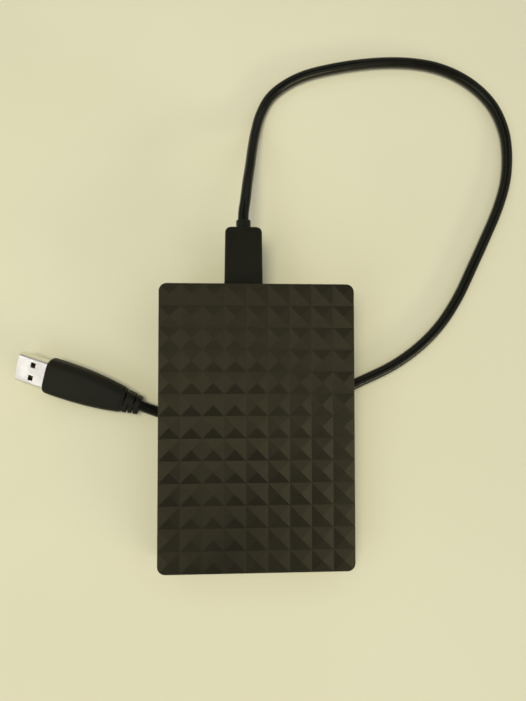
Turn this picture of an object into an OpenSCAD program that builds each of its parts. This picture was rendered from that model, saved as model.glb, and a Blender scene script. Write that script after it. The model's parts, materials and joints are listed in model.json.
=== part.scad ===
// Portable hard drive in a two-part moulded case, lying on its own lead.
// The case frame has its origin at the middle of the underside, +Y to the port, +Z up.
// laid_on_lead() then tilts the case so that it rests on its far edge and on the lead.

/* [Case] */
// Width of the case
case_w = 80; // [78:0.5:96]
// Length of the case, from the far end to the port
case_l = 117.1; // [115:0.1:141]
// Height of the case at the tips of the pyramids
case_h = 14.8; // [14.5:0.1:18]
// Radius of the upright corners
corner_r = 3.2; // [2:0.1:4]
// Thickness of the side walls
wall_t = 1.6; // [1.3:0.1:2]
// Thickness of the tray's floor
floor_t = 1.5; // [1.2:0.1:1.6]
// Thickness of the lid under the valleys of the pyramids
top_t = 1.5; // [1:0.1:1.8]
// Height of the joint between tray and lid
split_h = 4.4; // [4:0.1:4.8]
// Bevel round the underside
foot_bevel = 0.8; // [0.4:0.1:1.2]
// Bevel round the lid's top edge
brow_bevel = 0.5; // [0.3:0.1:0.8]

/* [Pyramids] */
// Pyramids across the lid
tile_columns = 9; // [5:1:15]
// Pyramids along the lid
tile_rows = 13; // [7:1:21]
// Height of each pyramid
tile_rise = 0.45; // [0.2:0.05:0.8]

/* [Tray rim] */
// Thickness of the rim that stands inside the lid
rim_t = 0.9; // [0.7:0.1:1.1]
// Height of the rim above the joint
rim_h = 2.4; // [2:0.1:3]
// Clearance between the rim and the lid
rim_gap = 0.12; // [0.05:0.01:0.2]
// Length of each snap hook
hook_l = 6; // [4:0.5:10]
// How far a snap hook stands out
hook_out = 0.4; // [0.2:0.05:0.5]

/* [Inner drive] */
// Width of the 2.5 inch drive
drive_w = 69.85; // [69.6:0.05:70.1]
// Length of the 2.5 inch drive
drive_l = 100.35; // [100.1:0.05:100.6]
// Thickness of the 2.5 inch drive
drive_t = 7; // [7:0.1:8.4]
// Radius of the platter
disc_r = 32.5; // [27:0.1:32.7]
// Thickness of the platter
disc_t = 0.8; // [0.6:0.05:0.9]
// Radius of the bore in the platter
disc_bore_r = 10; // [9.5:0.1:10.5]
// Distance from the platter's axis to the actuator's
pivot_gap = 42; // [41.8:0.1:42.4]
// Distance from the actuator's axis to the heads
arm_reach = 36; // [35.5:0.1:36.3]
// Angle that the arm swings from the ramp to the innermost track
arm_swing = 33; // [25:1:33]
// Radial clearance of the spindle's shaft and the actuator's bearing
bearing_gap = 0.03; // [0.02:0.01:0.08]

/* [Port] */
// Middle of the port across the case
port_x = -5.5; // [-12:0.5:8]
// Height of the bridge board's upper face
board_top = 5.6; // [5.4:0.1:5.8]
// Length of the plug's boot outside the case
plug_boot_l = 24.3; // [18:0.1:30]
// Width of the plug's boot
plug_boot_w = 16; // [14:0.1:18]
// Thickness of the plug's boot
plug_boot_t = 8.4; // [7:0.1:10]

/* [Lead] */
// Diameter of the lead
cord_d = 4.6; // [4:0.1:4.8]
// Sides of the lead's tube
cord_sides = 10; // [8:1:12]
// Width of the USB-A boot where it is widest
usb_boot_w = 16.2; // [14:0.1:18]
// Width of the USB-A boot at its lead end
usb_boot_w_end = 11.2; // [9.6:0.1:13]
// Thickness of the USB-A boot at its metal end
usb_boot_t = 7.6; // [7:0.1:9]
// Thickness of the USB-A boot at its lead end
usb_boot_t_end = 6.2; // [5.9:0.1:7]
// Length of the USB-A boot
usb_boot_l = 34.4; // [25:0.1:40]
// Length of the slotted strain relief
relief_l = 7.1; // [6:0.1:12]
// Width of the strain relief at the lead
relief_w_end = 7.6; // [6.6:0.1:9]

/* [Hidden] */
$fn = 64;
eps = 0.01;
seat = 0.05;

// Colours
case_black = [0.13, 0.125, 0.11];
rubber_black = [0.06, 0.06, 0.06];
lead_black = [0.09, 0.09, 0.085];
cast_grey = [0.62, 0.63, 0.64];
steel = [0.78, 0.78, 0.76];
mirror = [0.86, 0.86, 0.88];
copper = [0.72, 0.42, 0.2];
magnet_grey = [0.5, 0.5, 0.52];
chip_black = [0.1, 0.1, 0.1];
gold = [0.85, 0.68, 0.3];
board_green = [0.05, 0.25, 0.14];
plastic_white = [0.88, 0.88, 0.84];

// Heights and places inside the case
wall_top = case_h - tile_rise;
ceiling_z = wall_top - top_t;
rim_out = wall_t + rim_gap;
rim_in = rim_out + rim_t;
drive_z = floor_t + 1.7;
drive_y = -case_l / 2 + rim_in + 1;
drive_end = drive_y + drive_l;
port_z = board_top + 1.4;
end_y = case_l / 2;
pocket_h = 1.8;
hook_h = 1;
hook_z = split_h + 1.2;
rim_break = 19;
inner_r = corner_r - wall_t / 2;
cord_r = cord_d / 2;
lid_rib_x = [-16, 0, 16];
rib_t = 0.8;
port_hole = [13.4, 3.4];
light_x = port_x + 19.5;
light_r = 0.75;
board_start = drive_end + 0.7;
board_end = end_y - rim_in - seat;
board_x = [-30, 28];
board_t = 1;
post_x = [-24, 22];

// The tilt: the underside clears the lead by lead_gap where the lead runs straight across
lead_gap = 0.2;
support_y = 3;
tilt = atan((cord_d + lead_gap) / (case_l / 2 + support_y));
lift = (case_l / 2 - foot_bevel) * sin(tilt);
shift_y = (wall_top - brow_bevel + tile_rise + foot_bevel) / 2 * sin(tilt);

// Places inside the inner drive, measured from its far end and its underside
disc_y = 35.2;
well_r = disc_r + 0.9;
deck_z = 2.4;
cover_t = 0.6;
cover_z = drive_t - cover_t;
disc_z = 4.1;
disc_top = disc_z + disc_t;
motor_well_r = 9;
motor_floor = 1.3;
shaft_r = 2;
sleeve_r = 3.4;
hub_r = disc_bore_r - 0.05;
skirt_in = 7.7;
skirt_out = 8.7;
pivot_x = -11;
pivot_y = disc_y + sqrt(pivot_gap * pivot_gap - pivot_x * pivot_x);
park_r = disc_r + 2;
park_bend = acos((pivot_gap * pivot_gap + arm_reach * arm_reach - park_r * park_r)
    / (2 * pivot_gap * arm_reach));
arm_rest = atan2(disc_y - pivot_y, -pivot_x) + park_bend;
magnet_mid = 180 + arm_rest - arm_swing / 2;
post_r = 3;
arm_hub_r = 5.4;
coil_in = 8;
coil_out = 16.6;
carrier_r = 17.5;
yoke_in = 6.8;
yoke_out = 18;
yoke_z = deck_z + 0.5;
pcb_z = 0.9;
pcb_t = 0.8;
pcb_y = 48.2;
pcb_stop = 3.2;
pcb_gap = 0.2;
pcb_w = 55.6;
sata_x = 3;
sata_w = 43.8;
sata_bay = 44;
sata_deep = 4.6;
sata_z = 1.7;
sata_h = 3.7;
tongue_z = 3.9;
corner_screw = [31.2, 4];
side_screw = [32.7, 62];
screw_z = 3;
chamber = [30.5, 45, 94, 6];
flange_r = 11.4;

// USB-A plug, measured from the lead end of its strain relief
usb_front = relief_l + usb_boot_l;
usb_metal_l = 12;
usb_metal_w = 12;
usb_metal_t = 4.5;
usb_sheet_t = 0.3;
usb_tongue_t = 1.75;
usb_window = [2, 2.4];
usb_window_x = usb_metal_l - 6.5;
usb_window_y = 2.95;
usb_widest = usb_front - 8;

// Route of the lead, chosen by hand along what the table and the case allow
ROUTE = [
    [-5.5, 82, 18], [-5.5, 89, 18.4], [-4.6, 96, 17.8], [-3.6, 105, 15.1],
    [-2.4, 114, 11.5], [-1.2, 124, 7.6], [0.4, 134, 4.4], [2.7, 143, 2.7],
    [7, 151.5, 2.35], [14, 158, 2.35], [23, 163, 2.35], [34, 166.5, 2.35],
    [48, 169.5, 2.35], [62, 171.2, 2.35], [75, 171.3, 2.35], [87, 169.5, 2.35],
    [98, 165.2, 2.35], [107.5, 158.5, 2.35], [114.8, 149.5, 2.35], [119, 138, 2.35],
    [119.9, 126, 2.35], [118.3, 113, 2.35], [113.8, 99.5, 2.35], [107, 85, 2.35],
    [100, 71, 2.35], [93, 57.5, 2.35], [84.5, 45, 2.35], [74, 34.5, 2.35],
    [61, 25.6, 2.35], [44, 17.6, 2.35], [27, 9.6, 2.35], [12, 5, 2.35],
    [-4, 3.5, 2.35], [-20, 3.2, 2.35], [-32, 3.6, 2.4], [-40.8, 5.4, 2.55],
    [-49.6, 8.6, 4.5], [-52.4, 9.55, 4.65]
];
USB_END = [-49.6, 8.6, 4.5];
usb_heading = 161.2;
usb_roll = 24;
usb_rise = 2.5;

// Outlines
module round_rect(w, l, r) {
    for (x = [-1, 1], y = [-1, 1]) translate([x * (w / 2 - r), y * (l / 2 - r)]) circle(r);
    square([w, l - 2 * r], center = true);
    square([w - 2 * r, l], center = true);
}

module slab(w, l, h, r) {
    linear_extrude(h) round_rect(w, l, r);
}

// Post and bar profiles with a bevel at the foot and at the head
function bevel_profile(r, z0, z1, foot, head) = [
    [0, z0], [r - foot, z0], [r, z0 + foot], [r, z1 - head], [r - head, z1], [0, z1]
];

module bevelled_slab(w, l, z0, z1, r, foot, head) {
    for (x = [-1, 1], y = [-1, 1])
        translate([x * (w / 2 - r), y * (l / 2 - r), 0])
            rotate_extrude() polygon(bevel_profile(r, z0, z1, foot, head));
    for (a = [0, 180])
        rotate([0, 0, a]) {
            translate([0, l / 2 - r, 0]) rotate([90, 0, 90])
                linear_extrude(w - 2 * r, center = true) polygon(bevel_profile(r, z0, z1, foot, head));
            translate([w / 2 - r, 0, 0]) rotate([90, 0, 0])
                linear_extrude(l - 2 * r, center = true) polygon(bevel_profile(r, z0, z1, foot, head));
        }
    translate([-w / 2 + r, -l / 2 + r, z0]) cube([w - 2 * r, l - 2 * r, z1 - z0]);
}

module sector(r_in, r_out, mid, half) {
    far = 2 * r_out;
    steps = max(1, ceil(half / 20));
    intersection() {
        difference() {
            circle(r_out);
            circle(r_in);
        }
        polygon(concat([[0, 0]],
            [for (i = [-steps:steps]) far * [cos(mid + half * i / steps), sin(mid + half * i / steps)]]));
    }
}

// Places
module laid_on_lead() {
    translate([0, shift_y, lift]) rotate([tilt, 0, 0]) children();
}

module in_drive() {
    laid_on_lead() translate([0, drive_y, drive_z]) children();
}

module at_spindle() {
    in_drive() translate([0, disc_y, 0]) children();
}

module at_pivot() {
    in_drive() translate([pivot_x, pivot_y, 0]) children();
}

module at_port() {
    laid_on_lead() translate([port_x, end_y, port_z]) children();
}

module at_usb() {
    translate(USB_END) rotate([-usb_roll, -usb_rise, usb_heading]) children();
}

// Lid: two saw-tooth prisms that cross leave a field of pyramids
module ridge_profile(count, span) {
    pitch = span / count;
    peaks = [for (i = [0:2 * count]) [-span / 2 + i * pitch / 2, i % 2 == 0 ? wall_top : case_h]];
    polygon(concat([[-span / 2, 0]], peaks, [[span / 2, 0]]));
}

module pyramid_field() {
    intersection() {
        rotate([90, 0, 0]) linear_extrude(case_l + 2, center = true) ridge_profile(tile_columns, case_w);
        rotate([90, 0, 90]) linear_extrude(case_w + 2, center = true) ridge_profile(tile_rows, case_l);
    }
}

function hook_rows() = [-case_l / 3, 0, case_l / 3];

module top_shell() {
    rib_stop = 10;
    color(case_black) laid_on_lead() difference() {
        intersection() {
            bevelled_slab(case_w, case_l, split_h, case_h, corner_r, 0.2, brow_bevel);
            pyramid_field();
        }
        difference() {
            translate([0, 0, split_h - 1])
                slab(case_w - 2 * wall_t, case_l - 2 * wall_t, ceiling_z - split_h + 1, inner_r);
            for (x = lid_rib_x)
                translate([x - rib_t / 2, -case_l / 2 + rib_stop, ceiling_z - rib_t])
                    cube([rib_t, case_l - 2 * rib_stop, 1]);
        }
        for (x = [-1, 1], y = hook_rows())
            translate([x * (case_w / 2 - wall_t), y, hook_z + hook_h / 2])
                cube([2 * (hook_out + 0.15), hook_l + 1, pocket_h], center = true);
        translate([port_x, end_y, port_z]) rotate([90, 0, 0])
            linear_extrude(4 * wall_t, center = true) round_rect(port_hole[0], port_hole[1], 0.5);
        translate([light_x, end_y - 2 * wall_t, port_z])
            rotate([-90, 0, 0]) cylinder(r = light_r + seat, h = 4 * wall_t);
    }
}

// Tray with a rim, snap hooks, ribs and board posts
module tray_hollow(from) {
    translate([0, 0, from]) slab(case_w - 2 * rim_in, case_l - 2 * rim_in, case_h, inner_r);
}

module rim_cut(x, w) {
    translate([x - w / 2, end_y - 2 * rim_in, split_h]) cube([w, 2 * rim_in, 2 * rim_h]);
}

module snap_hook() {
    rotate([90, 0, 0]) linear_extrude(hook_l, center = true)
        polygon([[-eps, 0], [hook_out, 0.2], [hook_out, 0.5], [-eps, hook_h]]);
}

module bottom_shell() {
    rib_y = [-30, -10, 10, 30];
    rib_l = 50;
    rib_w = 1;
    post = [3, 6];
    color(case_black) laid_on_lead() {
        difference() {
            bevelled_slab(case_w, case_l, 0, split_h, corner_r, foot_bevel, 0.2);
            tray_hollow(floor_t);
        }
        difference() {
            translate([0, 0, floor_t])
                slab(case_w - 2 * rim_out, case_l - 2 * rim_out, split_h - floor_t + rim_h, inner_r);
            tray_hollow(floor_t - 1);
            rim_cut(port_x, rim_break);
            rim_cut(light_x, 4);
        }
        for (a = [0, 180], y = hook_rows())
            rotate([0, 0, a]) translate([case_w / 2 - rim_out, y, hook_z]) snap_hook();
        for (y = rib_y) translate([-rib_l / 2, y - rib_w / 2, floor_t - eps]) cube([rib_l, rib_w, rib_t]);
        for (x = post_x)
            translate([x - post[0] / 2, board_start + 1.3, floor_t - eps])
                cube([post[0], post[1], board_top - board_t - floor_t]);
    }
}

// Four rubber corner blocks that wrap the drive's corners and hold it off the case
module corner_bumpers() {
    fit = rim_in + 0.1;
    block_l = 16;
    block_from = 26;
    block_y = [-case_l / 2 + fit, drive_end - block_l];
    groove = 1;
    color(rubber_black) laid_on_lead() difference() {
        intersection() {
            translate([0, 0, floor_t + seat])
                slab(case_w - 2 * fit, case_l - 2 * fit, ceiling_z - floor_t - 2 * seat, inner_r);
            for (x = [-1, 1], y = block_y)
                translate([x * case_w / 2, y + block_l / 2, case_h / 2])
                    cube([case_w - 2 * block_from, block_l, 2 * case_h], center = true);
        }
        translate([-drive_w / 2 - seat, drive_y - seat, drive_z - seat])
            cube([drive_w + 2 * seat, drive_l + 2 * seat, drive_t + 2 * seat]);
        for (x = [-1, 1], y = block_y, i = [1, 2])
            translate([x * (case_w / 2 - fit), y + block_l * i / 3, case_h / 2])
                cube([groove, groove, case_h], center = true);
    }
}

module light_pipe() {
    pipe_l = 3.4;
    flange = [1.1, 1.4];
    color(plastic_white, 0.6) laid_on_lead()
        translate([light_x, end_y - pipe_l, port_z]) rotate([-90, 0, 0]) {
            cylinder(r = light_r, h = pipe_l);
            cylinder(r = flange[0], h = flange[1]);
        }
}

// Inner drive: the casting, with a round well for the disc and a chamber for the actuator
module chamber_outline() {
    w = chamber[0];
    near = chamber[1];
    far = chamber[2];
    cut = chamber[3];
    polygon([[-w, near], [w, near], [w, far - cut], [w - cut, far], [cut - w, far], [-w, far - cut]]);
}

module cover_holes(r, sides = 64) {
    for (x = [-1, 1], p = [corner_screw, [corner_screw[0], drive_l - corner_screw[1]], side_screw])
        translate([x * p[0], p[1]]) circle(r, $fn = sides);
}

function board_points() = [[-25.5, 50.5], [25.5, 50.5], [-25.5, 90], [25.5, 90]];

module base_casting() {
    tap_r = 1.25;
    tap_y = [14, 90.6];
    tap_x = 30.9;
    pocket_top = 1.7;
    color(cast_grey) in_drive() {
        difference() {
            translate([0, drive_l / 2, 0]) slab(drive_w, drive_l, cover_z, 2.5);
            translate([0, disc_y, deck_z]) cylinder(r = well_r, h = drive_t, $fn = 128);
            translate([0, 0, deck_z]) linear_extrude(drive_t) chamber_outline();
            translate([0, disc_y, motor_floor]) cylinder(r = motor_well_r, h = drive_t);
            translate([-pcb_w / 2 - pcb_gap, pcb_y - pcb_gap, -1])
                cube([pcb_w + 2 * pcb_gap, drive_l - pcb_stop + pcb_gap - pcb_y + pcb_gap, 1 + pocket_top]);
            translate([sata_x - sata_bay / 2, drive_l - sata_deep, -1]) cube([sata_bay, sata_deep + 1, 6.7]);
            translate([0, 0, screw_z]) linear_extrude(drive_t) cover_holes(0.8);
            for (x = [-1, 1], y = tap_y) {
                translate([x * (drive_w / 2 + 1), y, 3]) rotate([0, -90 * x, 0]) cylinder(r = tap_r, h = 3.6);
                translate([x * tap_x, y, -1]) cylinder(r = tap_r, h = 2.6);
            }
            for (p = board_points()) translate([p[0], p[1], -1]) cylinder(r = 0.7, h = 3.2);
        }
        translate([0, disc_y, motor_floor - eps]) difference() {
            cylinder(r = sleeve_r, h = disc_z - motor_floor - 0.2);
            translate([0, 0, -1]) cylinder(r = shaft_r + bearing_gap, h = drive_t);
        }
    }
}

// Stamped cover with a shallow ring over the disc, a panel over the actuator and a rim step
module drive_cover() {
    edge_gap = 0.4;
    stamp_z = 0.4;
    ring = [12, 31];
    panel = [48, 20];
    head_r = 1.65;
    color(steel) in_drive() translate([0, 0, cover_z]) difference() {
        translate([0, drive_l / 2, 0]) slab(drive_w - 2 * edge_gap, drive_l - 2 * edge_gap, cover_t, 2.2);
        translate([0, disc_y, stamp_z]) difference() {
            cylinder(r = ring[1], h = 1, $fn = 96);
            translate([0, 0, -1]) cylinder(r = ring[0], h = 3);
        }
        translate([0, pivot_y + 4, stamp_z]) slab(panel[0], panel[1], 1, 3);
        translate([0, 0, -1]) linear_extrude(3) cover_holes(0.85);
        translate([0, 0, 0.2]) linear_extrude(3) cover_holes(head_r);
        translate([pivot_x, pivot_y, -1]) cylinder(r = 0.85, h = 3);
        translate([0, disc_y, -1]) cylinder(r = 0.9, h = 3);
    }
}

module cover_screws() {
    head_z = cover_z + 0.2;
    color(steel) in_drive() {
        translate([0, 0, screw_z + 0.2]) linear_extrude(head_z - screw_z - 0.2) cover_holes(0.75);
        difference() {
            translate([0, 0, head_z]) linear_extrude(drive_t - head_z) cover_holes(1.55);
            translate([0, 0, drive_t - 0.25]) linear_extrude(1) cover_holes(0.55, 6);
        }
    }
}

// Spindle motor: nine wound teeth round the sleeve, inside the rotor's skirt
module motor_stator() {
    core_r = 5;
    tooth_tip = 6.8;
    tooth_w = 1;
    shoe = [6.5, 7.1, 15];
    stack_h = 1.4;
    color(copper) at_spindle() translate([0, 0, motor_floor + 0.1]) difference() {
        union() {
            cylinder(r = core_r, h = stack_h);
            for (a = [0:40:320]) rotate([0, 0, a]) {
                translate([core_r - 1, -tooth_w / 2, 0]) cube([tooth_tip - core_r + 1, tooth_w, stack_h]);
                linear_extrude(stack_h) sector(shoe[0], shoe[1], 0, shoe[2]);
            }
        }
        translate([0, 0, -1]) cylinder(r = sleeve_r + 0.02, h = 4);
    }
}

module spindle_hub() {
    top = disc_top + 0.3;
    flange_z = disc_z - 0.8;
    foot = motor_floor + 0.3;
    bore = [1.3, disc_z - 1];
    color(steel) at_spindle() rotate_extrude() polygon([
        [0, foot], [shaft_r, foot], [shaft_r, disc_z - 0.1],
        [skirt_in, disc_z - 0.1], [skirt_in, foot + 0.1], [skirt_out, foot + 0.1],
        [skirt_out, flange_z], [flange_r, flange_z], [flange_r, disc_z],
        [hub_r, disc_z], [hub_r, top], [bore[0], top], bore, [0, bore[1]]
    ]);
}

module rotor_magnet() {
    magnet_in = skirt_in - 0.4;
    foot = motor_floor + 0.5;
    color(magnet_grey) at_spindle() rotate_extrude()
        translate([magnet_in, foot]) square([skirt_in - magnet_in, 1.3]);
}

module platter() {
    color(mirror) at_spindle() translate([0, 0, disc_z]) difference() {
        cylinder(r = disc_r, h = disc_t, $fn = 128);
        translate([0, 0, -1]) cylinder(r = disc_bore_r, h = 3);
    }
}

module disc_clamp() {
    hole_r = 1.4;
    under = disc_top + 0.3;
    color(steel) at_spindle() rotate_extrude() polygon([
        [hole_r, under], [disc_bore_r + 0.2, under], [disc_bore_r + 0.2, disc_top], [flange_r, disc_top],
        [flange_r, under], [flange_r - 0.3, under + 0.3], [hole_r, under + 0.3]
    ]);
}

module clamp_screw() {
    head_z = disc_top + 0.6;
    color(steel) at_spindle() difference() {
        union() {
            translate([0, 0, head_z]) cylinder(r = 2.4, h = 0.5);
            translate([0, 0, disc_z - 0.8]) cylinder(r = 1.2, h = head_z - disc_z + 1.1);
        }
        translate([0, 0, head_z + 0.2]) cylinder(r = 1, h = 1, $fn = 6);
    }
}

// Head actuator: a post, a two-tined arm on it, and a flat coil between two magnets
module pivot_post() {
    foot = [4.2, 0.25];
    color(steel) at_pivot() difference() {
        translate([0, 0, deck_z]) {
            cylinder(r = post_r, h = cover_z - deck_z);
            cylinder(r = foot[0], h = foot[1]);
        }
        translate([0, 0, cover_z - 2.5]) cylinder(r = 0.8, h = 3);
    }
}

module tine_outline() {
    root = [0, 5];
    waist = [8, 4];
    tip = [24, 2.2];
    edge = [root, waist, tip];
    polygon(concat(edge, [for (i = [2:-1:0]) [edge[i][0], -edge[i][1]]]));
}

module coil_outline(grow) {
    sector(coil_in - grow, coil_out + grow, 180, 17.5 + 2 * grow);
}

module actuator_arm() {
    tine_t = 0.4;
    hub_h = 3.3;
    hub_groove = [0.4, 1.2];
    color(cast_grey) at_pivot() rotate([0, 0, arm_rest]) difference() {
        union() {
            translate([0, 0, deck_z + 0.4]) cylinder(r = arm_hub_r, h = hub_h);
            for (z = [disc_z - 2 * tine_t, disc_top + tine_t])
                translate([0, 0, z]) linear_extrude(tine_t) tine_outline();
            translate([0, 0, disc_z - 0.1]) linear_extrude(1) difference() {
                sector(arm_hub_r - 0.5, carrier_r, 180, 22);
                coil_outline(seat);
            }
        }
        translate([0, 0, -1]) cylinder(r = post_r + bearing_gap, h = drive_t + 2);
        for (hole = [[9, 1.25], [14, 1.05], [18.5, 0.85]])
            translate([hole[0], 0, 0]) cylinder(r = hole[1], h = drive_t);
        translate([0, 0, deck_z + 0.4 + hub_h - hub_groove[0]]) difference() {
            cylinder(r = arm_hub_r - 0.6, h = 1);
            translate([0, 0, -1]) cylinder(r = arm_hub_r - 0.6 - hub_groove[1], h = 3);
        }
    }
}

module voice_coil() {
    strand = 2.2;
    color(copper) at_pivot() rotate([0, 0, arm_rest]) translate([0, 0, disc_z - 0.2]) linear_extrude(1.2)
        difference() {
            coil_outline(0);
            sector(coil_in + strand, coil_out - strand, 180, 9);
        }
}

module head_suspensions() {
    leaf_t = 0.15;
    slider = [1.2, 1, 0.2];
    edge = [[19, 2], [24, 2], [arm_reach, 0.7], [arm_reach + 2.4, 0.4]];
    color(steel) at_pivot() rotate([0, 0, arm_rest]) {
        for (z = [disc_z - 0.4, disc_top + 0.25]) translate([0, 0, z]) linear_extrude(leaf_t) difference() {
            polygon(concat(edge, [for (i = [3:-1:0]) [edge[i][0], -edge[i][1]]]));
            translate([27, 0]) circle(0.7);
        }
        for (z = [disc_z - 0.25, disc_top + 0.05])
            translate([arm_reach - slider[0] / 2, -slider[1] / 2, z]) cube(slider);
    }
}

module yoke_outline() {
    sector(yoke_in, yoke_out, magnet_mid, 54);
}

function yoke_posts() = [for (a = [-50.5, 50.5]) 14 * [cos(magnet_mid + a), sin(magnet_mid + a)]];

module lower_yoke() {
    color(steel) at_pivot() {
        translate([0, 0, deck_z]) linear_extrude(yoke_z - deck_z) yoke_outline();
        for (p = yoke_posts())
            translate([p[0], p[1], yoke_z - eps]) cylinder(r = 1.3, h = cover_z - 0.5 - yoke_z);
    }
}

module upper_yoke() {
    color(steel) at_pivot() translate([0, 0, cover_z - 0.5]) linear_extrude(0.45) yoke_outline();
}

module magnet(z, h) {
    color(magnet_grey) at_pivot() translate([0, 0, z]) linear_extrude(h)
        sector(coil_in, coil_out + 0.4, magnet_mid, 34);
}

module lower_magnet() {
    magnet(yoke_z, 0.7);
}

module upper_magnet() {
    magnet(cover_z - 1.05, 0.55);
}

// Ramp beside the disc, where the heads park
module ramp() {
    turn = arm_rest + 1;
    half = 4;
    shelf = [arm_reach + 1, 40];
    foot = [39.5, 41.5];
    color(plastic_white) at_pivot() {
        translate([0, 0, disc_z - 0.15]) linear_extrude(disc_t + 0.3) sector(shelf[0], shelf[1], turn, half);
        translate([0, 0, deck_z]) linear_extrude(disc_z - deck_z + 0.8) sector(foot[0], foot[1], turn, half);
    }
}

module crash_stop() {
    color(rubber_black) at_pivot() rotate([0, 0, magnet_mid + 47.5]) translate([9, 0, yoke_z])
        cylinder(r = 0.9, h = cover_z - 0.55 - yoke_z);
}

// Electronics: chips are given as [x, y, width, length, height]
module chips(list, z, up) {
    for (c = list) translate([c[0], c[1], up ? z : z - c[4]]) cube([c[2], c[3], c[4]]);
}

module drive_board() {
    color(board_green) in_drive() difference() {
        translate([-pcb_w / 2, pcb_y, pcb_z]) cube([pcb_w, drive_l - pcb_y - pcb_stop, pcb_t]);
        translate([sata_x - sata_bay / 2, drive_l - sata_deep + seat, pcb_z - 1]) cube([sata_bay, 5, 3]);
        for (p = board_points()) translate([p[0], p[1], -1]) cylinder(r = 0.75, h = 4);
    }
    color(chip_black) in_drive()
        chips([[-16, 62, 12, 12, 0.8], [4, 64, 11, 8, 0.7], [-4, 80, 8, 6, 0.7], [10, 79, 5, 5, 0.5],
            [-13, 82, 4, 3, 0.6], [-20, 56, 3, 5, 0.5]], pcb_z, false);
}

module board_screws() {
    color(steel) in_drive() for (p = board_points()) translate([p[0], p[1], 0]) {
        translate([0, 0, 0.4]) cylinder(r = 1.4, h = pcb_z - 0.4);
        translate([0, 0, 0.5]) cylinder(r = 0.65, h = 1.6);
    }
}

module sata_tongues(grow, y0, y1) {
    half_t = 0.6 + grow;
    for (s = [[-19.2, 10.4], [-6.3, 21.1]])
        translate([sata_x + s[0] - grow, y0, tongue_z - half_t]) cube([s[1] + 2 * grow, y1 - y0, 2 * half_t]);
}

module sata_plug() {
    back_y = drive_l - sata_deep;
    ear = 1.5;
    color(chip_black) in_drive() {
        translate([sata_x - sata_w / 2, back_y + 0.1, sata_z]) cube([sata_w, 1, sata_h]);
        for (x = [-sata_w / 2, sata_w / 2 - ear])
            translate([sata_x + x, back_y + 1, sata_z]) cube([ear, 3.3, sata_h]);
        sata_tongues(0, back_y + 1, drive_l - 0.3);
    }
}

module sata_socket() {
    w = 40.4;
    color(chip_black) in_drive() difference() {
        translate([sata_x - w / 2, drive_l - 3.4, board_top - drive_z]) cube([w, 7.4, 2.9]);
        sata_tongues(0.1, drive_l - 4, drive_l);
    }
}

module bridge_board() {
    hole = [-27, 4.3, 1.1];
    color(board_green) laid_on_lead() difference() {
        translate([board_x[0], board_start, board_top - board_t])
            cube([board_x[1] - board_x[0], board_end - board_start, board_t]);
        translate([hole[0], board_start + hole[1], 0]) cylinder(r = hole[2], h = case_h);
    }
}

module bridge_chips() {
    bridge_chip = [port_x - 16, board_end - 5.3, 6, 5, 0.9];
    coil = [port_x + 9.5, board_end - 5.4, 5, 4, 1.4];
    lamp = [light_x - 1, board_end - 4.1, 2, 1.2, 1.8];
    memory = [light_x + 4, board_end - 5.4, 3.2, 2.5, 1];
    color(chip_black) laid_on_lead() chips([bridge_chip, coil, lamp, memory], board_top, true);
}

// USB 3 Micro-B outline: a trapezoid lobe and a small rectangular lobe side by side
function microb_points(g) = let (w = 6.02 + g, h = 0.92 + g, slope = -0.1 - 0.4 * g) [
    [-w, h], [-w, slope], [-5 - 0.5 * g, -h], [-0.2 + 0.5 * g, -h],
    [0.85 + g, slope], [0.85 + g, 0.1 - g], [1.9 - g, 0.1 - g], [1.9 - g, -h],
    [w, -h], [w, h]
];

module microb_prism(grow, y0, y1) {
    translate([0, y1, 0]) rotate([90, 0, 0]) linear_extrude(y1 - y0) polygon(microb_points(grow));
}

module port_shell() {
    back_y = -8.4;
    front_y = -1.4;
    foot = [12.8, 0.4];
    color(steel) at_port() difference() {
        union() {
            microb_prism(0.37, back_y, front_y);
            translate([-foot[0] / 2, back_y, board_top - port_z]) cube([foot[0], front_y - back_y, foot[1]]);
        }
        microb_prism(0.12, back_y + 0.2, 1);
    }
}

module port_tongue() {
    back_y = -8.1;
    wall_y = -6;
    blade_l = 3.7;
    blade_t = 0.6;
    color(rubber_black) at_port() {
        microb_prism(0.1, back_y, wall_y);
        for (b = [[-4.8, 4.4], [2.6, 2.7]])
            translate([b[0], wall_y - 0.1, -blade_t / 2]) cube([b[1], blade_l + 0.1, blade_t]);
    }
}

module microb_shell() {
    sheet = 0.2;
    color(steel) at_port() difference() {
        microb_prism(0, -4.7, 0.3);
        microb_prism(-sheet, -5, 1);
    }
}

module microb_core() {
    color(rubber_black) at_port() microb_prism(-0.22, -2, 0.3);
}

// Boots, each a hull of posts with rounded rims
function rim_profile(r, t, edge) = concat(
    [[0, t / 2]],
    [for (a = [0:30:90]) [r - edge + edge * sin(a), t / 2 - edge + edge * cos(a)]],
    [for (a = [0:30:90]) [r - edge + edge * cos(a), -t / 2 + edge - edge * sin(a)]],
    [[0, -t / 2]]
);

module rim_post(r, t, edge) {
    rotate_extrude($fn = 32) polygon(rim_profile(r, t, edge));
}

module microb_boot() {
    face_gap = 0.3;
    near_r = 1.2;
    far_r = 2.4;
    taper = 0.3;
    rim = 1;
    collar_r = 3.1;
    collar_l = 3.5;
    color(lead_black) at_port() {
        hull() for (x = [-1, 1]) {
            translate([x * (plug_boot_w / 2 - near_r), face_gap + near_r, 0])
                rim_post(near_r, plug_boot_t, rim);
            translate([x * (plug_boot_w / 2 - taper - far_r), face_gap + plug_boot_l - far_r, 0])
                rim_post(far_r, plug_boot_t, rim);
        }
        translate([0, face_gap + plug_boot_l - 0.1, 0]) rotate([-90, 0, 0]) rotate_extrude() polygon([
            [0, -1], [collar_r, -1], [collar_r, collar_l - 0.6], [collar_r - 0.35, collar_l], [0, collar_l]
        ]);
    }
}

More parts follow.
